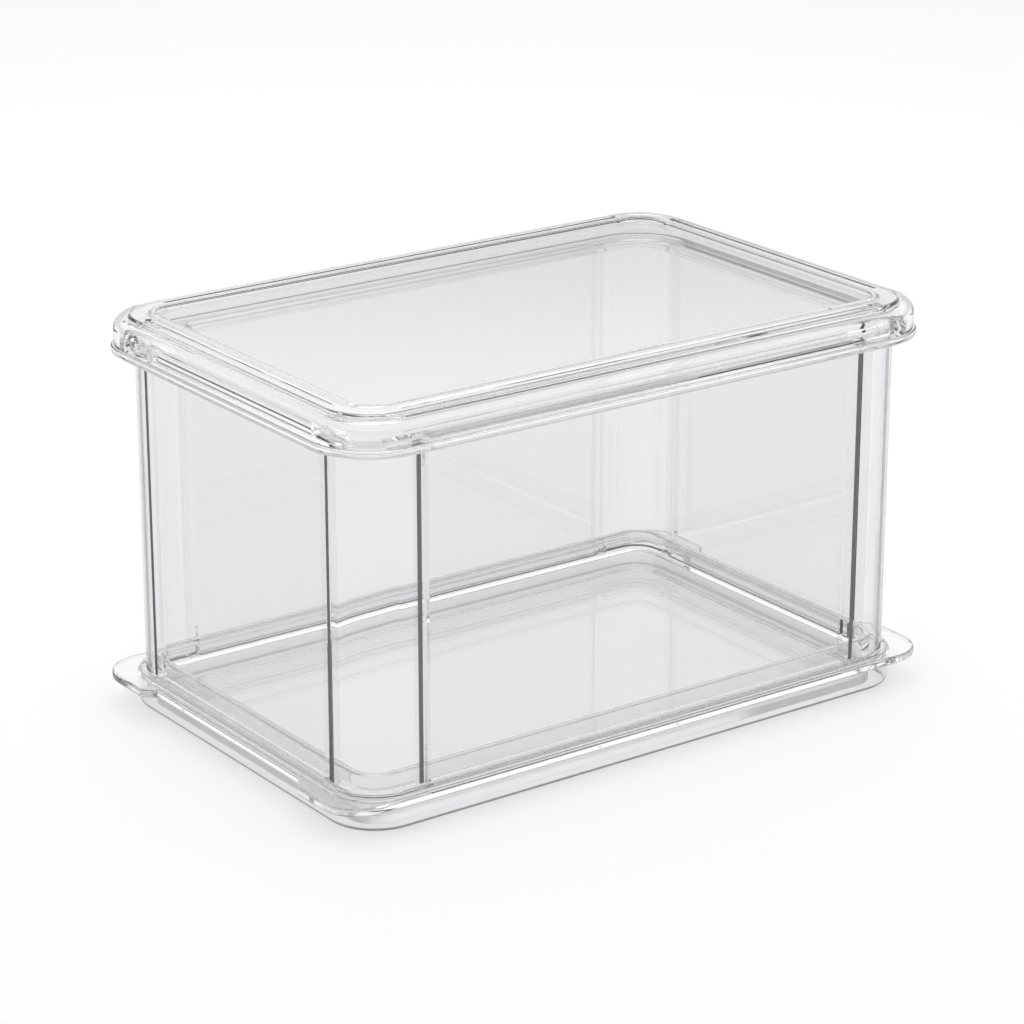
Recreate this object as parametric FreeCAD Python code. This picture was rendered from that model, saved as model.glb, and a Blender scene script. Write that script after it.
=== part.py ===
import FreeCAD, Part
import math
import os

# Clear storage box: base tray, four corner posts, four wall panels, top frame and a two-piece lift-off lid.
# Millimetres, Z up, long side along X, front at -Y, origin in the middle of the underside.
# Every rounded outline turns about the same four corner centres, so one radius describes each outline.
# Radii count outwards from those centres, and each piece's radius follows from the one it fits.
CORNER_X = 138.5
CORNER_Y = 82.5

# Corner posts: a quarter-round shell with a long leg over the X panel's end and a short one over the Y panel's
POST_R = 21.2
POST_WALL = 2.7
POST_LEG_X = 16.0
POST_LEG_Y = 9.5
POCKET_CLEAR = 0.3

# Shadow groove down each leg's outer face
GROOVE_W = 2.4
GROOVE_DEPTH = 1.5
GROOVE_EDGE = 4.0
GROOVE_TOP_GAP = 3.0

# Wall panels, whose ends lap behind the posts' legs
PANEL_T = 2.4
PANEL_LAP = 5.2
PANEL_SIDE_CLEAR = 0.2
PANEL_END_CLEAR = 0.4
PANEL_TOP_CLEAR = 0.3
WALL_H = 161.7

# Base tray: floor, wall with a hollow underneath, flange, plinth round the walls and a curb inside them
FLOOR_T = 3.0
FLOOR_FILLET = 3.0
DECK_Z = 16.4
FLANGE_T = 4.2
FLANGE_W = 3.5
FLANGE_ROUND = 1.4
TRAY_STEP = 1.6
TRAY_DRAFT = 1.0
FOOT_ROUND = 1.8
PLINTH_PROUD = 2.7
PLINTH_H = 1.4
PLINTH_ROUND = 0.8
CURB_T = 4.2
CURB_H = 6.0
CURB_ROUND = 1.0
SOCKET_DEPTH = 4.0
SOCKET_FLOOR = 2.5
CORE_WALL = 2.8
CORE_ROUND = 1.0

# Grip tabs at the corners of the flange's short ends
TAB_W = 6.5
TAB_LENGTH = 41.5
TAB_RUN = 7.0
TAB_CORNER_R = 20.0
TAB_BLEND_R = 5.0

# Top frame: a lip that carries the lid, a rail over the walls and an upstand that centres the lid
LIP_T = 3.2
LIP_PROUD = 1.5
LIP_ROUND = 1.2
RAIL_H = 7.0
RAIL_INSET = 2.7
RAIL_WALL = 1.9
RAIL_ROUND = 1.0
FRAME_SOCKET = 4.5
UPSTAND_GAP = 2.3
UPSTAND_T = 2.0
UPSTAND_H = 3.8
UPSTAND_ROUND = 0.8

# Lid frame: skirt, rounded shoulder, raised plateau with a channel, bead and the rebate that holds the sheet
LID_FIT = 0.3
LID_WALL = 3.0
LID_DECK_T = 2.6
SKIRT_H = 13.3
SHOULDER_ROUND = 5.5
SHOULDER_FLAT = 2.0
PLATEAU_STEP = 1.5
PLATEAU_W = 10.0
PLATEAU_UNDER = 0.4
BEAD_W = 3.0
BEAD_H = 0.8
BEAD_SLOPE = 0.8
BEAD_ROUND = 1.0
REBATE_W = 4.0
CHANNEL_INSET = 5.1
CHANNEL_W = 3.4
CHANNEL_DEPTH = 1.3
CHANNEL_END_GAP = 4.0
EDGE_ROUND = 0.6

# Lid panel, bonded into the rebate from below
SHEET_T = 2.0
SHEET_DROP = 1.4
SHEET_BOND = 0.1
SHEET_CLEAR = 0.3

# Radii and panel ends that follow
WALL_SPACE = PANEL_T + 2 * PANEL_SIDE_CLEAR
WALL_OUT_R = POST_R - POST_WALL
WALL_IN_R = WALL_OUT_R - WALL_SPACE
PANEL_END_X = CORNER_X - POST_LEG_X + PANEL_LAP
PANEL_END_Y = CORNER_Y - POST_LEG_Y + PANEL_LAP
CURB_IN_R = WALL_IN_R - CURB_T
PLINTH_R = POST_R + PLINTH_PROUD
TRAY_R = PLINTH_R + TRAY_STEP
FLANGE_R = TRAY_R + FLANGE_W
RAIL_IN_R = WALL_IN_R - RAIL_INSET
RAIL_OUT_R = POST_R + POCKET_CLEAR + RAIL_WALL
UPSTAND_IN_R = RAIL_OUT_R + UPSTAND_GAP
UPSTAND_OUT_R = UPSTAND_IN_R + UPSTAND_T
SKIRT_IN_R = UPSTAND_OUT_R + LID_FIT
SKIRT_R = SKIRT_IN_R + LID_WALL
LIP_R = SKIRT_R + LIP_PROUD
PLATEAU_R = SKIRT_R - SHOULDER_ROUND - SHOULDER_FLAT
BEAD_R = PLATEAU_R - PLATEAU_W
OPENING_R = BEAD_R - BEAD_W
REBATE_R = OPENING_R + REBATE_W

# Heights that follow, from the bottom up
SOCKET_Z = DECK_Z + PLINTH_H - SOCKET_DEPTH
CORE_Z = SOCKET_Z - SOCKET_FLOOR
PLINTH_Z = DECK_Z + PLINTH_H
CURB_Z = PLINTH_Z + CURB_H
FRAME_Z = PLINTH_Z + WALL_H
POST_TOP_Z = FRAME_Z + FRAME_SOCKET
LIP_Z = FRAME_Z + LIP_T
SHOULDER_Z = LIP_Z + SKIRT_H
PLATEAU_Z = SHOULDER_Z + PLATEAU_STEP
REBATE_Z = PLATEAU_Z - SHEET_DROP
SHEET_TOP_Z = REBATE_Z - SHEET_BOND

# How far cutting tools reach past the face they cut
PAST = 1.0

os.makedirs("parts", exist_ok=True)


def vec(x, y, z=0.0):
    return FreeCAD.Vector(x, y, z)


# Edges of a closed outline through points (a, b, radius), with each corner rounded by its radius
def rounded_edges(points, place):
    corners = []
    for i, here in enumerate(points):
        before = points[i - 1]
        after = points[(i + 1) % len(points)]
        corner = vec(here[0], here[1])
        radius = here[2] if len(here) > 2 else 0.0
        if radius <= 0:
            corners.append((corner, None, corner))
            continue
        back = vec(before[0], before[1]) - corner
        ahead = vec(after[0], after[1]) - corner
        back.normalize()
        ahead.normalize()
        half = back.getAngle(ahead) / 2
        run = radius / math.tan(half)
        inward = back + ahead
        inward.normalize()
        middle = corner + inward * (radius / math.sin(half) - radius)
        corners.append((corner + back * run, middle, corner + ahead * run))
    edges = []
    for i, (start, middle, end) in enumerate(corners):
        if middle is not None:
            edges.append(Part.Arc(place(start), place(middle), place(end)).toShape())
        following = corners[(i + 1) % len(corners)][0]
        if (following - end).Length > 1e-6:
            edges.append(Part.makeLine(place(end), place(following)))
    return edges


# A flat outline in plan, raised from z0 to z1
def plan_prism(points, z0, z1):
    wire = Part.Wire(rounded_edges(points, lambda p: vec(p.x, p.y, z0)))
    return Part.Face(wire).extrude(vec(0, 0, z1 - z0))


# A solid slab with the box's rounded outline at one radius
def slab(radius, z0, z1):
    hx = CORNER_X + radius
    hy = CORNER_Y + radius
    corners = ((-hx, -hy), (hx, -hy), (hx, hy), (-hx, hy))
    return plan_prism([(x, y, radius) for x, y in corners], z0, z1)


# A ring with one section, given as (radius, height, rounding), all the way round the box
def ring(section):
    face = Part.Face(Part.Wire(rounded_edges(section, lambda p: vec(p.x, 0, p.y))))
    pieces = []
    for quarter, (dx, dy) in enumerate(((1, 1), (-1, 1), (-1, -1), (1, -1))):
        corner = face.copy()
        corner.rotate(vec(0, 0), vec(0, 0, 1), 90 * quarter)
        corner = corner.revolve(vec(0, 0), vec(0, 0, 1), 90)
        corner.translate(vec(dx * CORNER_X, dy * CORNER_Y))
        pieces.append(corner)
    for quarter in range(4):
        reach, half = (CORNER_X, CORNER_Y) if quarter % 2 == 0 else (CORNER_Y, CORNER_X)
        side = face.copy()
        side.translate(vec(reach, -half))
        side = side.extrude(vec(0, 2 * half))
        side.rotate(vec(0, 0), vec(0, 0, 1), 90 * quarter)
        pieces.append(side)
    return pieces[0].multiFuse(pieces[1:]).removeSplitter()


def block(x0, x1, y0, y1, z0, z1):
    return Part.makeBox(x1 - x0, y1 - y0, z1 - z0, vec(x0, y0, z0))


# The same shape at another corner or side of the box
def mirrored(shape, flip_x, flip_y):
    if flip_x:
        shape = shape.mirror(vec(0, 0), vec(1, 0))
    if flip_y:
        shape = shape.mirror(vec(0, 0), vec(0, 1))
    return shape


def at_corner(shape):
    shape.translate(vec(CORNER_X, CORNER_Y))
    return shape


# The post's shell: the quarter round and both legs, grown by a clearance where it is cut as a pocket
def post_shell(z0, z1, grow):
    outer = POST_R + grow
    inner = WALL_OUT_R - grow
    round_outer = Part.makeCylinder(outer, z1 - z0, vec(0, 0, z0), vec(0, 0, 1), 90)
    round_inner = Part.makeCylinder(inner, z1 - z0, vec(0, 0, z0), vec(0, 0, 1), 90)
    x_leg = block(-POST_LEG_X - grow, 0, inner, outer, z0, z1)
    y_leg = block(inner, outer, -POST_LEG_Y - grow, 0, z0, z1)
    return at_corner(round_outer.cut(round_inner).fuse([x_leg, y_leg])).removeSplitter()


def make_post():
    x0 = -POST_LEG_X + GROOVE_EDGE
    y0 = -POST_LEG_Y + GROOVE_EDGE
    bottom = POST_R - GROOVE_DEPTH
    front = POST_R + PAST
    top = FRAME_Z - GROOVE_TOP_GAP
    x_groove = block(x0, x0 + GROOVE_W, bottom, front, PLINTH_Z, top)
    y_groove = block(bottom, front, y0, y0 + GROOVE_W, PLINTH_Z, top)
    post = post_shell(SOCKET_Z, POST_TOP_Z, 0)
    return post.cut(at_corner(x_groove.fuse(y_groove))).removeSplitter()


# The rear panel reaches from post to post, and from the tray's groove up into the top frame
def make_rear_panel():
    y0 = CORNER_Y + WALL_IN_R + PANEL_SIDE_CLEAR
    top = POST_TOP_Z - PANEL_TOP_CLEAR
    return block(-PANEL_END_X, PANEL_END_X, y0, y0 + PANEL_T, SOCKET_Z, top)


def make_right_panel():
    x0 = CORNER_X + WALL_IN_R + PANEL_SIDE_CLEAR
    top = POST_TOP_Z - PANEL_TOP_CLEAR
    return block(x0, x0 + PANEL_T, -PANEL_END_Y, PANEL_END_Y, SOCKET_Z, top)


# What is cut for the walls: a groove along each side and a pocket at each corner
def wall_sockets(z0, z1):
    half_x = PANEL_END_X + PANEL_END_CLEAR
    half_y = PANEL_END_Y + PANEL_END_CLEAR
    rear = block(-half_x, half_x, CORNER_Y + WALL_IN_R, CORNER_Y + WALL_OUT_R, z0, z1)
    right = block(CORNER_X + WALL_IN_R, CORNER_X + WALL_OUT_R, -half_y, half_y, z0, z1)
    pocket = post_shell(z0, z1, POCKET_CLEAR)
    cuts = [rear, mirrored(rear, False, True), right, mirrored(right, True, False)]
    return cuts + [mirrored(pocket, fx, fy) for fx in (False, True) for fy in (False, True)]


# One grip tab, at the corner where X and Y are both positive
def make_tab():
    y_edge = CORNER_Y + FLANGE_R
    x_edge = CORNER_X + FLANGE_R
    y_end = y_edge - TAB_LENGTH
    y_root = y_end - TAB_RUN
    points = [
        (CORNER_X, y_edge),
        (CORNER_X, y_root - TAB_RUN),
        (x_edge, y_root - TAB_RUN),
        (x_edge, y_root, TAB_BLEND_R),
        (x_edge + TAB_W, y_end, TAB_BLEND_R),
        (x_edge + TAB_W, y_edge, TAB_CORNER_R),
    ]
    return plan_prism(points, DECK_Z - FLANGE_T, DECK_Z)


# The flange with its four tabs, rounded along its upper and lower edges, open in the middle
def make_flange():
    plate = slab(FLANGE_R, DECK_Z - FLANGE_T, DECK_Z)
    for flip_x in (False, True):
        for flip_y in (False, True):
            plate = plate.fuse(mirrored(make_tab(), flip_x, flip_y))
    plate = plate.removeSplitter()
    rims = [edge for edge in plate.Edges if edge.BoundBox.ZLength < FLANGE_T / 2]
    plate = plate.makeFillet(FLANGE_ROUND, rims)
    return plate.cut(slab(WALL_IN_R, DECK_Z - FLANGE_T - PAST, DECK_Z + PAST))


def make_base_tray():
    floor_r = CURB_IN_R - FLOOR_FILLET
    wall = ring([
        (floor_r, 0),
        (CURB_IN_R + CORE_WALL, 0),
        (CURB_IN_R + CORE_WALL, CORE_Z, CORE_ROUND),
        (TRAY_R - CORE_WALL, CORE_Z, CORE_ROUND),
        (TRAY_R - CORE_WALL, 0),
        (TRAY_R - TRAY_DRAFT, 0, FOOT_ROUND),
        (TRAY_R, DECK_Z - FLANGE_T),
        (TRAY_R, DECK_Z),
        (PLINTH_R, DECK_Z, PLINTH_ROUND),
        (PLINTH_R, PLINTH_Z, PLINTH_ROUND / 2),
        (WALL_IN_R, PLINTH_Z),
        (WALL_IN_R, CURB_Z, CURB_ROUND),
        (CURB_IN_R, CURB_Z, CURB_ROUND),
        (CURB_IN_R, FLOOR_T, FLOOR_FILLET),
        (floor_r, FLOOR_T),
    ])
    tray = wall.fuse([make_flange(), slab(floor_r, 0, FLOOR_T)])
    return tray.cut(wall_sockets(SOCKET_Z, CURB_Z + PAST)).removeSplitter()


def make_top_frame():
    frame = ring([
        (RAIL_IN_R, FRAME_Z, RAIL_ROUND),
        (LIP_R, FRAME_Z, LIP_ROUND),
        (LIP_R, LIP_Z, LIP_ROUND),
        (UPSTAND_OUT_R, LIP_Z),
        (UPSTAND_OUT_R, LIP_Z + UPSTAND_H, UPSTAND_ROUND),
        (UPSTAND_IN_R, LIP_Z + UPSTAND_H, UPSTAND_ROUND),
        (UPSTAND_IN_R, LIP_Z, UPSTAND_ROUND),
        (RAIL_OUT_R, LIP_Z, UPSTAND_ROUND),
        (RAIL_OUT_R, FRAME_Z + RAIL_H, RAIL_ROUND),
        (RAIL_IN_R, FRAME_Z + RAIL_H, RAIL_ROUND),
    ])
    return frame.cut(wall_sockets(FRAME_Z - PAST, POST_TOP_Z)).removeSplitter()


# The channel round the lid's sheet is four straight runs with round ends
def lid_channels():
    half_w = CHANNEL_W / 2
    z0 = PLATEAU_Z - CHANNEL_DEPTH
    height = CHANNEL_DEPTH + BEAD_H + PAST
    runs = []
    for quarter in range(4):
        reach, half = (CORNER_Y, CORNER_X) if quarter % 2 == 0 else (CORNER_X, CORNER_Y)
        reach += PLATEAU_R - CHANNEL_INSET
        half -= CHANNEL_END_GAP
        run = block(-half, half, reach - half_w, reach + half_w, z0, z0 + height)
        for end in (-half, half):
            run = run.fuse(Part.makeCylinder(half_w, height, vec(end, reach, z0)))
        run.rotate(vec(0, 0), vec(0, 0, 1), 90 * quarter)
        runs.append(run.removeSplitter())
    return runs


def make_lid_frame():
    deck_under = SHOULDER_Z - LID_DECK_T
    plateau_under = deck_under + PLATEAU_UNDER
    bead_z = PLATEAU_Z + BEAD_H
    frame = ring([
        (SKIRT_IN_R, LIP_Z),
        (SKIRT_R, LIP_Z, EDGE_ROUND),
        (SKIRT_R, SHOULDER_Z, SHOULDER_ROUND),
        (PLATEAU_R, SHOULDER_Z, EDGE_ROUND),
        (PLATEAU_R - EDGE_ROUND, PLATEAU_Z, EDGE_ROUND),
        (BEAD_R, PLATEAU_Z, EDGE_ROUND),
        (BEAD_R - BEAD_SLOPE, bead_z, EDGE_ROUND),
        (OPENING_R, bead_z, BEAD_ROUND),
        (OPENING_R, REBATE_Z),
        (REBATE_R, REBATE_Z),
        (REBATE_R, plateau_under, EDGE_ROUND / 3),
        (PLATEAU_R - EDGE_ROUND, plateau_under, EDGE_ROUND / 3),
        (PLATEAU_R, deck_under, EDGE_ROUND / 3),
        (SKIRT_IN_R, deck_under, SHOULDER_ROUND - LID_DECK_T),
    ])
    return frame.cut(lid_channels()).removeSplitter()


def make_lid_panel():
    return slab(REBATE_R - SHEET_CLEAR, SHEET_TOP_Z - SHEET_T, SHEET_TOP_Z)


def make_nodes():
    post = make_post()
    rear_panel = make_rear_panel()
    right_panel = make_right_panel()
    return {
        "base_tray": make_base_tray(),
        "corner_post_front_left": mirrored(post, True, True),
        "corner_post_front_right": mirrored(post, False, True),
        "corner_post_rear_left": mirrored(post, True, False),
        "corner_post_rear_right": post,
        "front_panel": mirrored(rear_panel, False, True),
        "rear_panel": rear_panel,
        "left_panel": mirrored(right_panel, True, False),
        "right_panel": right_panel,
        "top_frame": make_top_frame(),
        "lid_frame": make_lid_frame(),
        "lid_panel": make_lid_panel(),
    }


for name, shape in make_nodes().items():
    if not shape.isValid() or len(shape.Solids) != 1:
        print("check", name, "valid", shape.isValid(), "solids", len(shape.Solids))
    if len(shape.Solids) == 1:
        shape = shape.Solids[0]
    shape.exportStep("parts/" + name + ".step")
    print(name, round(shape.Volume / 1000, 1), "cm3")
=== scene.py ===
import math

import bpy
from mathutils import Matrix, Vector


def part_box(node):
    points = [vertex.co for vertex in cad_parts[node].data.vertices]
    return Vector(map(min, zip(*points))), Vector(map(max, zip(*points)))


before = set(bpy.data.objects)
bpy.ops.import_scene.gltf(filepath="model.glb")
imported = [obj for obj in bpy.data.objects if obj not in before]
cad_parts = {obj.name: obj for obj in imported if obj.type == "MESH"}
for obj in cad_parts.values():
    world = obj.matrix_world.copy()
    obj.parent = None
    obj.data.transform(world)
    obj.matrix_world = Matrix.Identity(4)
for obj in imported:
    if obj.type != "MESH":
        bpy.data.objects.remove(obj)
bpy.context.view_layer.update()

bl_info = {
    "name": "Clear Storage Box",
    "version": (1, 0, 0),
    "blender": (4, 5, 0),
    "location": "3D View > Sidebar > Storage Box",
    "description": "Dresses a clear lidded storage box in moulded and sheet acrylic, in a soft studio",
    "category": "Object",
}

MM = 0.001

# Centres of the four corners' arcs in plan, which the radii below count from, as in the part's source
CORNER_X = 138.5 * MM
CORNER_Y = 82.5 * MM

# Shadow groove in a post's leg: its start from the leg's end, its width and its depth
GROOVE_EDGE = 4.0 * MM
GROOVE_W = 2.4 * MM
GROOVE_DEPTH = 1.5 * MM

# Inner face of the hollow under the tray's rim, between two radii and under a height
CORE_FROM_R = 12.5 * MM
CORE_TO_R = 15.0 * MM
CORE_TOP = 11.2 * MM

# The tray's rim counts from the outer side of the groove that the wall panels stand in
RIM_FROM_R = 18.5 * MM

# Rounded foot of the tray's wall, which gets a painted shadow, outside a radius and under a height
FOOT_FROM_R = 22.6 * MM
FOOT_TOP = 1.4 * MM

# Top of the top frame's lip, where the closed lid rests
LIP_TOP = 182.7 * MM

# How far a wall panel laps behind a post's leg
PANEL_LAP = 5.2 * MM

# How far a mask reaches past the faces that it is meant to hold
HAIR = 0.06 * MM

POSTS = [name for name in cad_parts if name.startswith("corner_post")]
WALLS = ["front_panel", "rear_panel", "left_panel", "right_panel"]


def linear(hex_colour):
    """An sRGB hex colour as a linear colour with full alpha."""
    parts = [int(hex_colour[i:i + 2], 16) / 255 for i in (1, 3, 5)]
    return tuple(c / 12.92 if c <= 0.04045 else ((c + 0.055) / 1.055) ** 2.4 for c in parts) + (1.0,)


def grey(level):
    """A linear grey with full alpha."""
    return (level, level, level, 1.0)


class ClearPlasticSettings(bpy.types.PropertyGroup):
    """What the clear acrylic looks like."""

    frame_tint: bpy.props.FloatVectorProperty(
        name="Frame Tint", description="Colour that the top frame and the lid frame pass",
        subtype="COLOR", size=4, min=0.0, max=1.0, default=linear("#fbfbfb"))
    body_tint: bpy.props.FloatVectorProperty(
        name="Body Tint", description="Colour that the tray and the corner posts pass",
        subtype="COLOR", size=4, min=0.0, max=1.0, default=linear("#f6f6f7"))
    sheet_tint: bpy.props.FloatVectorProperty(
        name="Sheet Tint", description="Colour that the wall and lid sheets pass",
        subtype="COLOR", size=4, min=0.0, max=1.0, default=linear("#f1f1f2"))
    # Painted shade: faces seen edge on pass this darker grey, which draws the outlines
    edge_painted_shade: bpy.props.FloatVectorProperty(
        name="Edge Tint", description="Colour that a face passes when it is seen edge on",
        subtype="COLOR", size=4, min=0.0, max=1.0, default=linear("#acaeb0"))
    edge_power: bpy.props.FloatProperty(
        name="Edge Power", description="How closely the painted edge shade keeps to the edges",
        min=1.0, max=20.0, default=4.0)
    # Painted shade: the grooves' faces, seen directly from outside, are this dark grey
    groove_painted_shade: bpy.props.FloatVectorProperty(
        name="Groove Painted Shade", description="Colour of the posts' shadow grooves",
        subtype="COLOR", size=4, min=0.0, max=1.0, default=linear("#6b6c6e"))
    # Painted shadow: the tray's rounded foot passes this dark grey
    foot_painted_shadow: bpy.props.FloatVectorProperty(
        name="Foot Painted Shadow", description="Colour that the tray's rounded foot passes",
        subtype="COLOR", size=4, min=0.0, max=1.0, default=linear("#8a8b8d"))
    straight_pass: bpy.props.FloatProperty(
        name="Straight Pass", description="Share of the light that passes a lapped or hidden face unbent",
        min=0.0, max=1.0, default=0.97)
    refraction: bpy.props.FloatProperty(
        name="Refraction", description="Index of refraction of acrylic",
        min=1.0, max=2.0, default=1.49)
    post_bend: bpy.props.FloatProperty(
        name="Post Bend", description="Index of refraction that stands for the posts' thin shells",
        min=1.0, max=2.0, default=1.08)
    shadow_pass: bpy.props.FloatProperty(
        name="Shadow Pass", description="Share of a lamp's light that each face lets through to the floor",
        min=0.0, max=1.0, default=0.975)
    rim_pass: bpy.props.FloatProperty(
        name="Rim Pass", description="Share of a lamp's light that each face of the tray's rim passes",
        min=0.0, max=1.0, default=0.85)
    etch_roughness: bpy.props.FloatProperty(
        name="Etch Roughness", description="Roughness of the tray's etched hollow",
        min=0.0, max=1.0, default=0.3)


class StudioSettings(bpy.types.PropertyGroup):
    """Where the camera stands and how the studio is lit."""

    azimuth: bpy.props.FloatProperty(
        name="Azimuth", description="Camera's angle round the box from straight ahead",
        subtype="ANGLE", default=math.radians(-35.77))
    elevation: bpy.props.FloatProperty(
        name="Elevation", description="Camera's angle above the horizon",
        subtype="ANGLE", default=math.radians(19.68))
    distance: bpy.props.FloatProperty(
        name="Distance", description="From the camera to the point it looks at",
        unit="LENGTH", min=0.1, default=1.6888)
    lens: bpy.props.FloatProperty(
        name="Lens", description="Focal length", unit="CAMERA", min=10.0, default=123.1)
    aim: bpy.props.FloatVectorProperty(
        name="Aim", description="Point that the camera looks at",
        subtype="TRANSLATION", unit="LENGTH", size=3, default=(-0.0131, -0.0145, 0.0985))
    floor_colour: bpy.props.FloatVectorProperty(
        name="Floor Colour", description="Colour of the pale floor",
        subtype="COLOR", size=4, min=0.0, max=1.0, default=linear("#f6f6f6"))
    key_power: bpy.props.FloatProperty(
        name="Key Power", description="Power of the overhead softbox",
        unit="POWER", min=0.0, default=5.3)
    key_place: bpy.props.FloatVectorProperty(
        name="Key Place", description="Where the overhead softbox hangs",
        subtype="TRANSLATION", unit="LENGTH", size=3, default=(0.35, 0.6, 1.7))
    key_size: bpy.props.FloatProperty(
        name="Key Size", description="Side of the square overhead softbox",
        unit="LENGTH", min=0.01, default=0.8)
    room_level: bpy.props.FloatProperty(
        name="Room Level", description="Brightness of the room round the table",
        min=0.0, default=1.0)


def add_node(tree, kind, links=None, **values):
    """Adds a node, sets its attributes or input values, and links its inputs."""
    node = tree.nodes.new(kind)
    for name, value in values.items():
        if hasattr(node, name):
            setattr(node, name, value)
        else:
            node.inputs[name.replace("_", " ")].default_value = value
    for name, source in (links or {}).items():
        tree.links.new(source, node.inputs[name])
    return node


def maths(tree, operation, first, second):
    """One Math node, whose two inputs are sockets or numbers."""
    node = add_node(tree, "ShaderNodeMath", operation=operation)
    for place, source in enumerate((first, second)):
        if isinstance(source, (int, float)):
            node.inputs[place].default_value = source
        else:
            tree.links.new(source, node.inputs[place])
    return node.outputs[0]


def blend(tree, share, first, second):
    """A colour between two colours, by a share."""
    node = add_node(tree, "ShaderNodeMix", {0: share}, data_type="RGBA")
    for place, source in ((6, first), (7, second)):
        if isinstance(source, bpy.types.NodeSocket):
            tree.links.new(source, node.inputs[place])
        else:
            node.inputs[place].default_value = source
    return node.outputs[2]


def mix_shader(tree, share, first, second):
    """A shader between two shaders, by a share."""
    return add_node(tree, "ShaderNodeMixShader", {0: share, 1: first, 2: second}).outputs[0]


def new_material(name):
    """A material with an empty node tree."""
    material = bpy.data.materials.new(name)
    material.use_nodes = True
    material.node_tree.nodes.clear()
    return material


def between(tree, value, low, high):
    """1 where value lies from low to high, and 0 elsewhere."""
    over = maths(tree, "GREATER_THAN", value, low)
    return maths(tree, "MULTIPLY", over, maths(tree, "LESS_THAN", value, high))


def object_place(tree):
    """The shaded point's place in the box at rest."""
    return add_node(tree, "ShaderNodeTexCoord").outputs["Object"]


def object_height(tree):
    """The shaded point's height in the box at rest."""
    return add_node(tree, "ShaderNodeSeparateXYZ", {0: object_place(tree)}).outputs["Z"]


def plan_distances(tree):
    """Distances from the box's two upright middle planes."""
    split = add_node(tree, "ShaderNodeSeparateXYZ", {0: object_place(tree)})
    return [maths(tree, "ABSOLUTE", split.outputs[i], 0.0) for i in (0, 1)]


def corner_radius(tree):
    """Distance in plan, outwards from the rectangle of the four corner centres, and zero inside it."""
    across = add_node(tree, "ShaderNodeVectorMath", {0: object_place(tree)}, operation="ABSOLUTE")
    past = add_node(tree, "ShaderNodeVectorMath", {0: across.outputs[0]}, operation="SUBTRACT")
    # The third value is higher than the box, so that height doesn't count
    past.inputs[1].default_value = (CORNER_X, CORNER_Y, 1.0)
    outwards = add_node(tree, "ShaderNodeVectorMath", {0: past.outputs[0]}, operation="MAXIMUM")
    radius = add_node(tree, "ShaderNodeVectorMath", {0: outwards.outputs[0]}, operation="LENGTH")
    return radius.outputs["Value"]


def leg_masks(tree):
    """1 on the posts' shadow grooves, and 1 on the ends of their legs."""
    low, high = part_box("corner_post_rear_right")
    across = plan_distances(tree)
    masks = []
    # Each post has a leg along X and a leg along Y
    for i, j in ((0, 1), (1, 0)):
        start = low[i] + GROOVE_EDGE
        along = between(tree, across[i], start - HAIR, start + GROOVE_W + HAIR)
        deep = between(tree, across[j], high[j] - GROOVE_DEPTH - HAIR, high[j] - HAIR)
        groove = maths(tree, "MULTIPLY", along, deep)
        masks.append((groove, maths(tree, "LESS_THAN", across[i], low[i] + HAIR)))
    return [maths(tree, "MAXIMUM", first, second) for first, second in zip(*masks)]


def wall_ends(tree):
    """1 on the upright ends of the wall panels, where they lap behind the posts' legs."""
    x, y = plan_distances(tree)
    long_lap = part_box("rear_panel")[1][0] - PANEL_LAP
    short_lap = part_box("right_panel")[1][1] - PANEL_LAP
    # The long panels stand outside the corner centres along Y, and the short ones end inside them
    near_end = maths(tree, "GREATER_THAN", x, long_lap)
    on_long = maths(tree, "MULTIPLY", near_end, maths(tree, "GREATER_THAN", y, CORNER_Y))
    return maths(tree, "MAXIMUM", on_long, between(tree, y, short_lap, CORNER_Y))


def hidden_top(tree):
    """1 above the top frame's lip, behind the closed lid's skirt."""
    return maths(tree, "GREATER_THAN", object_height(tree), LIP_TOP + HAIR)


def core_mask(tree):
    """1 on the inner face of the hollow under the tray's rim."""
    ring = between(tree, corner_radius(tree), CORE_FROM_R, CORE_TO_R)
    return maths(tree, "MULTIPLY", ring, maths(tree, "LESS_THAN", object_height(tree), CORE_TOP))


def foot_shadow_mask(tree):
    """1 round the tray's foot, where its wall turns under and a painted shadow darkens it."""
    outer = maths(tree, "GREATER_THAN", corner_radius(tree), FOOT_FROM_R)
    return maths(tree, "MULTIPLY", outer, maths(tree, "LESS_THAN", object_height(tree), FOOT_TOP))


# Injection-moulded acrylic flows from the gate and keeps a slow unevenness of a few thousandths of a
# millimetre: its stretch by axis, the period of its waves and their height
MOULD_RIPPLE = ((1.0, 1.0, 1.0), 28 * MM, 0.006 * MM)

# The posts fill from their ends, so their unevenness is larger and drawn out along them
POST_RIPPLE = ((1.0, 1.0, 0.05), 28 * MM, 0.02 * MM)

# Extruded acrylic sheet keeps faint draw lines along the direction in which it left the die
DRAW_LINES = ((1.0, 1.0, 0.04), 18 * MM, 0.006 * MM)

# One finer layer of waves over the slow ones
RIPPLE_DETAIL = 1.0

# At this blend the facing weight is one less the cosine of the angle from the view to the face's normal
PLAIN_FACING = 0.5

# The posts' grooves are satin inside, where the outside is polished
GROOVE_ROUGHNESS = 0.3


def ripple(tree, stretch, period, height):
    """A faint waviness of the surface, stretched by axis, with its real period and height."""
    spread = add_node(tree, "ShaderNodeVectorMath", {0: object_place(tree)}, operation="MULTIPLY")
    spread.inputs[1].default_value = stretch
    waves = add_node(tree, "ShaderNodeTexNoise", {"Vector": spread.outputs[0]},
                     Scale=1 / period, Detail=RIPPLE_DETAIL)
    return add_node(tree, "ShaderNodeBump", {"Height": waves.outputs["Fac"]}, Distance=height).outputs[0]


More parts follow.
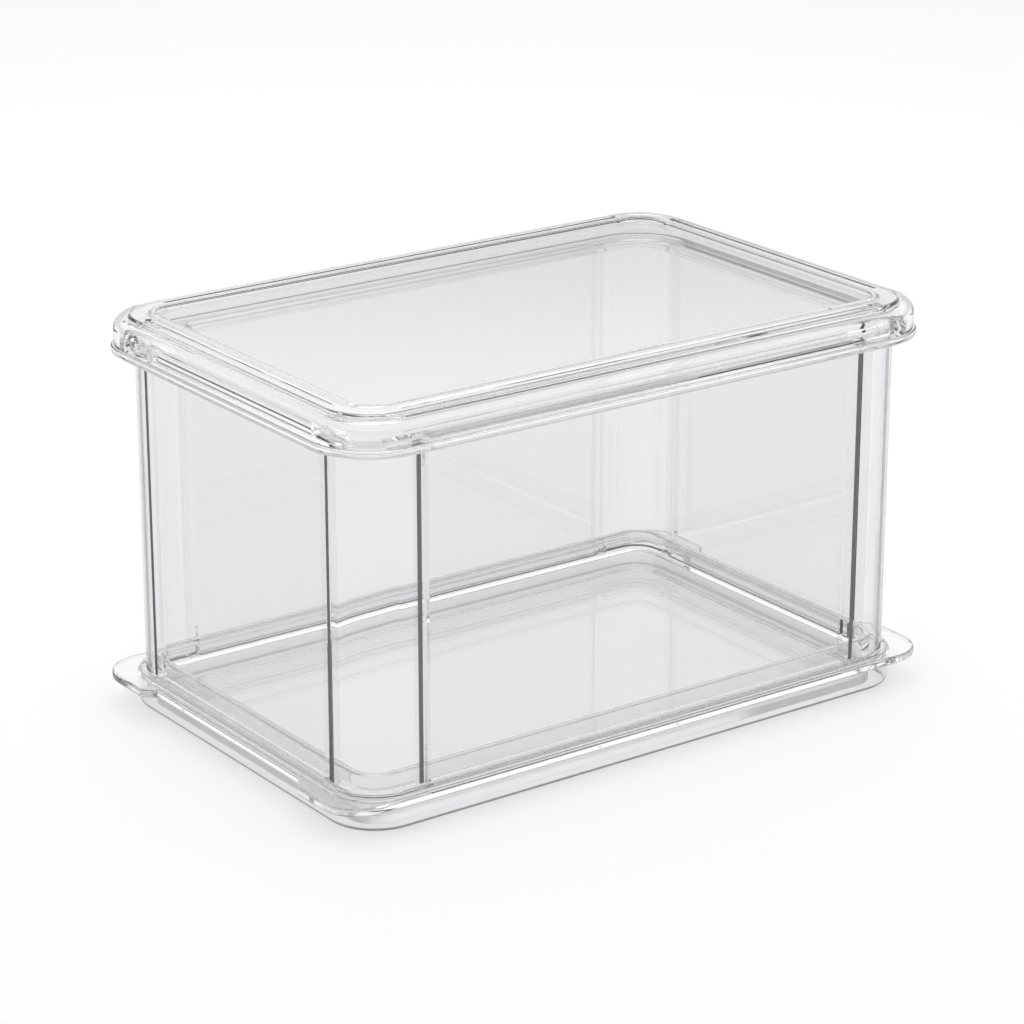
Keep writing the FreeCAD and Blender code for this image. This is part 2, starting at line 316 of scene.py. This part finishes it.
def straight(tree, level):
    """Passes a share of the light without bending it."""
    return add_node(tree, "ShaderNodeBsdfTransparent", Color=grey(level)).outputs[0]


def indirect_view(tree):
    """1 where a face is seen through or in another one, and 0 where the camera sees it directly."""
    return maths(tree, "SUBTRACT", 1.0, add_node(tree, "ShaderNodeLightPath").outputs["Is Camera Ray"])


def grooved(tree, look, plastic):
    """The posts' plastic with their shadow grooves, painted dark grey as shade where the camera sees them
    from outside.
    """
    groove, end = leg_masks(tree)
    away = add_node(tree, "ShaderNodeNewGeometry").outputs["Backfacing"]
    # The leg's end, and a groove seen through other plastic, get no painted shade and draw no dark line of
    # their own
    soft = maths(tree, "MAXIMUM", maths(tree, "MAXIMUM", away, end), indirect_view(tree))
    # The groove's walls and floor are painted dark grey, a painted shade for the light that they throw
    # sideways, so the groove shows as a dark line
    dark = add_node(tree, "ShaderNodeBsdfPrincipled",
                    Base_Color=look.groove_painted_shade, Roughness=GROOVE_ROUGHNESS)
    faces = mix_shader(tree, soft, dark.outputs[0], straight(tree, look.straight_pass))
    return mix_shader(tree, maths(tree, "MAXIMUM", groove, end), plastic, faces)


def calm_faces(tree, kind):
    """A mask of the faces that pass light straight, so that what lies behind them stays calm, or None."""
    if kind == "post":
        return hidden_top(tree)
    if kind == "wall":
        return maths(tree, "MAXIMUM", hidden_top(tree), wall_ends(tree))
    if kind == "top":
        return maths(tree, "MULTIPLY", hidden_top(tree), indirect_view(tree))
    return None


def clear_acrylic(name, look, tint, stretch, period, height, kind):
    """Clear acrylic that bends and mirrors like the solid, and lets the lamps' light through to the floor.

    The kind, which is tray, post, wall, top or lid, says which faces of the piece differ from the rest.
    """
    material = new_material(name)
    tree = material.node_tree
    # Edge on, light runs a long way inside the plastic, and there the faces are painted darker: a painted
    # shade that draws the outlines
    facing = add_node(tree, "ShaderNodeLayerWeight", Blend=PLAIN_FACING).outputs["Facing"]
    edge_on = maths(tree, "POWER", facing, look.edge_power)
    passed = blend(tree, edge_on, tint, look.edge_painted_shade)
    # The waviness of a moulded or drawn surface, which bends the highlights a little
    normal = ripple(tree, stretch, period, height)
    plastic = add_node(tree, "ShaderNodeBsdfPrincipled", {"Base Color": passed, "Normal": normal},
                       Transmission_Weight=1.0, Roughness=0.0, IOR=look.refraction)
    body = plastic.outputs[0]
    see_through = add_node(tree, "ShaderNodeBsdfTransparent", Color=grey(look.shadow_pass))
    if kind == "post":
        # The posts' thin shells hardly shift what lies behind them, so they bend little and a coat
        # mirrors the room
        plastic.inputs["IOR"].default_value = look.post_bend
        plastic.inputs["Coat Weight"].default_value = 1.0
        plastic.inputs["Coat IOR"].default_value = look.refraction
        body = grooved(tree, look, body)
    if kind == "tray":
        # A painted shadow darkens the rounded foot into a dark line along the tray's lower edge, standing
        # for the shadow under the box that gathers there
        tree.links.new(blend(tree, foot_shadow_mask(tree), passed, look.foot_painted_shadow), plastic.inputs["Base Color"])
        # The mould's core side is etched, so the hollow's inner face is satin
        etched = maths(tree, "MULTIPLY", core_mask(tree), look.etch_roughness)
        tree.links.new(etched, plastic.inputs["Roughness"])
        # The thick rim throws more of the light aside, so the paper is darker under it than under the
        # tray's thin floor
        rim = maths(tree, "GREATER_THAN", corner_radius(tree), RIM_FROM_R)
        level = blend(tree, rim, grey(look.shadow_pass), grey(look.rim_pass))
        tree.links.new(level, see_through.inputs["Color"])
    calm = calm_faces(tree, kind)
    if calm is not None:
        body = mix_shader(tree, calm, body, straight(tree, look.straight_pass))
    path = add_node(tree, "ShaderNodeLightPath")
    passing = maths(tree, "MAXIMUM", path.outputs["Is Shadow Ray"], path.outputs["Is Diffuse Ray"])
    whole = mix_shader(tree, passing, body, see_through.outputs[0])
    add_node(tree, "ShaderNodeOutputMaterial", {0: whole})
    return material


def dress(names, material):
    """Gives the named pieces a material, in place of the ones they had."""
    for name in names:
        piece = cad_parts[name]
        piece.data.materials.clear()
        piece.data.materials.append(material)


class BOX_OT_dress_tray(bpy.types.Operator):
    """Dress the base tray in moulded acrylic with an etched hollow"""

    bl_idname = "storage_box.dress_tray"
    bl_label = "Dress Tray"

    def execute(self, context):
        look = context.scene.clear_plastic
        material = clear_acrylic("Acrylic moulded tray", look, look.body_tint, *MOULD_RIPPLE, "tray")
        dress(["base_tray"], material)
        return {"FINISHED"}


class BOX_OT_dress_posts(bpy.types.Operator):
    """Dress the corner posts in moulded acrylic, with shadow grooves painted dark as shade"""

    bl_idname = "storage_box.dress_posts"
    bl_label = "Dress Posts"

    def execute(self, context):
        look = context.scene.clear_plastic
        material = clear_acrylic("Acrylic moulded post", look, look.body_tint, *POST_RIPPLE, "post")
        dress(POSTS, material)
        return {"FINISHED"}


class BOX_OT_dress_frames(bpy.types.Operator):
    """Dress the top frame and the lid frame in moulded acrylic"""

    bl_idname = "storage_box.dress_frames"
    bl_label = "Dress Frames"

    def execute(self, context):
        look = context.scene.clear_plastic
        for kind in ("top", "lid"):
            material = clear_acrylic(f"Acrylic moulded {kind}", look, look.frame_tint, *MOULD_RIPPLE, kind)
            dress([kind + "_frame"], material)
        return {"FINISHED"}


class BOX_OT_dress_sheets(bpy.types.Operator):
    """Dress the wall panels and the lid's sheet in extruded acrylic"""

    bl_idname = "storage_box.dress_sheets"
    bl_label = "Dress Sheets"

    def execute(self, context):
        look = context.scene.clear_plastic
        for kind, names in (("wall", WALLS), ("lid", ["lid_panel"])):
            material = clear_acrylic(f"Acrylic extruded {kind}", look, look.sheet_tint, *DRAW_LINES, kind)
            dress(names, material)
        return {"FINISHED"}


# The paper runs far past the box on every side, and lies just under it
FLOOR_HALF = 15.0
FLOOR_Z = -0.2 * MM

# Light that the paper adds where it is seen, so that it meets the white backdrop
FLOOR_GLOW = 0.12

# Clipping distance of the camera, past the floor's far edge
CAMERA_REACH = 100.0

# Brightness of the room from the horizon at 0 to straight up at 1: a pale wall, a row of softboxes
# above it, and a plain ceiling
ROOM_STEPS = ((0.0, 0.72), (0.26, 0.72), (0.32, 1.35), (0.5, 1.35), (0.6, 0.6), (0.9, 0.75), (1.0, 0.75))

# Light paths long enough for the many faces of clear plastic
PASS_LIMIT = 64
MIRROR_LIMIT = 48


def make_floor(colour):
    """Matt white paper under the box."""
    corners = [(-FLOOR_HALF, -FLOOR_HALF, 0), (FLOOR_HALF, -FLOOR_HALF, 0),
               (FLOOR_HALF, FLOOR_HALF, 0), (-FLOOR_HALF, FLOOR_HALF, 0)]
    mesh = bpy.data.meshes.new("studio_floor")
    mesh.from_pydata(corners, [], [(0, 1, 2, 3)])
    floor = bpy.data.objects.new("studio_floor", mesh)
    floor.location.z = FLOOR_Z
    bpy.context.scene.collection.objects.link(floor)
    material = new_material("Paper sweep matt white")
    tree = material.node_tree
    paper = add_node(tree, "ShaderNodeBsdfDiffuse", Color=colour)
    glow = add_node(tree, "ShaderNodeEmission", Color=grey(1.0), Strength=FLOOR_GLOW)
    both = add_node(tree, "ShaderNodeAddShader", {0: paper.outputs[0], 1: glow.outputs[0]})
    path = add_node(tree, "ShaderNodeLightPath")
    seen = maths(tree, "MAXIMUM", path.outputs["Is Camera Ray"], path.outputs["Is Transmission Ray"])
    whole = mix_shader(tree, seen, paper.outputs[0], both.outputs[0])
    add_node(tree, "ShaderNodeOutputMaterial", {0: whole})
    mesh.materials.append(material)


def make_camera(studio):
    """A camera that looks at the aim from the studio's azimuth, elevation and distance."""
    level = math.cos(studio.elevation)
    back = Vector((math.sin(studio.azimuth) * level, -math.cos(studio.azimuth) * level,
                   math.sin(studio.elevation)))
    data = bpy.data.cameras.new("photo_camera")
    data.lens = studio.lens
    data.clip_end = CAMERA_REACH
    camera = bpy.data.objects.new("photo_camera", data)
    camera.location = Vector(studio.aim) + back * studio.distance
    camera.rotation_euler = (-back).to_track_quat("-Z", "Y").to_euler()
    bpy.context.scene.collection.objects.link(camera)
    bpy.context.scene.camera = camera


def make_softbox(name, place, size, power):
    """A square softbox that faces the box."""
    data = bpy.data.lights.new(name, "AREA")
    data.shape = "SQUARE"
    data.size = size
    data.energy = power
    lamp = bpy.data.objects.new(name, data)
    lamp.location = place
    lamp.rotation_euler = (-Vector(place)).to_track_quat("-Z", "Y").to_euler()
    bpy.context.scene.collection.objects.link(lamp)


def make_room(level):
    """A room whose brightness changes with height, which the camera itself sees as a white backdrop."""
    world = bpy.data.worlds.new("studio_room")
    bpy.context.scene.world = world
    world.use_nodes = True
    tree = world.node_tree
    tree.nodes.clear()
    where = add_node(tree, "ShaderNodeTexCoord")
    height = add_node(tree, "ShaderNodeSeparateXYZ", {0: where.outputs["Generated"]})
    ramp = add_node(tree, "ShaderNodeValToRGB", {0: height.outputs["Z"]})
    for place, _ in ROOM_STEPS[1:-1]:
        ramp.color_ramp.elements.new(place)
    for element, (place, value) in zip(ramp.color_ramp.elements, ROOM_STEPS):
        element.position = place
        element.color = grey(value)
    seen = add_node(tree, "ShaderNodeLightPath").outputs["Is Camera Ray"]
    backdrop = blend(tree, seen, ramp.outputs[0], grey(1.0))
    room = add_node(tree, "ShaderNodeBackground", {0: backdrop}, Strength=level)
    add_node(tree, "ShaderNodeOutputWorld", {0: room.outputs[0]})


class BOX_OT_set_stage(bpy.types.Operator):
    """Set the pale floor, the soft studio light and the camera"""

    bl_idname = "storage_box.set_stage"
    bl_label = "Set Stage"

    def execute(self, context):
        scene = context.scene
        studio = scene.studio
        make_floor(studio.floor_colour)
        make_room(studio.room_level)
        make_softbox("overhead_softbox", studio.key_place, studio.key_size, studio.key_power)
        make_camera(studio)
        scene.view_settings.view_transform = "Standard"
        # Bright spots thrown through the plastic would only be noise on the floor
        scene.cycles.caustics_refractive = False
        scene.cycles.caustics_reflective = False
        scene.cycles.transparent_max_bounces = PASS_LIMIT
        scene.cycles.max_bounces = PASS_LIMIT
        scene.cycles.transmission_bounces = PASS_LIMIT
        scene.cycles.glossy_bounces = MIRROR_LIMIT
        return {"FINISHED"}


class BOX_PT_storage_box(bpy.types.Panel):
    """Lists the steps that dress the box"""

    bl_idname = "BOX_PT_storage_box"
    bl_label = "Storage Box"
    bl_space_type = "VIEW_3D"
    bl_region_type = "UI"
    bl_category = "Storage Box"

    def draw(self, context):
        for operator in OPERATORS:
            self.layout.operator(operator.bl_idname)


OPERATORS = (BOX_OT_dress_tray, BOX_OT_dress_posts, BOX_OT_dress_frames, BOX_OT_dress_sheets,
             BOX_OT_set_stage)
CLASSES = (ClearPlasticSettings, StudioSettings) + OPERATORS + (BOX_PT_storage_box,)


def register():
    """Registers the classes and gives the scene its settings."""
    for item in CLASSES:
        bpy.utils.register_class(item)
    bpy.types.Scene.clear_plastic = bpy.props.PointerProperty(type=ClearPlasticSettings)
    bpy.types.Scene.studio = bpy.props.PointerProperty(type=StudioSettings)


def unregister():
    """Takes back what register gave."""
    del bpy.types.Scene.studio
    del bpy.types.Scene.clear_plastic
    for item in reversed(CLASSES):
        bpy.utils.unregister_class(item)


def main():
    """Dresses the box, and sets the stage."""
    register()
    bpy.ops.storage_box.dress_tray()
    bpy.ops.storage_box.dress_posts()
    bpy.ops.storage_box.dress_frames()
    bpy.ops.storage_box.dress_sheets()
    bpy.ops.storage_box.set_stage()


if __name__ == "__main__":
    main()
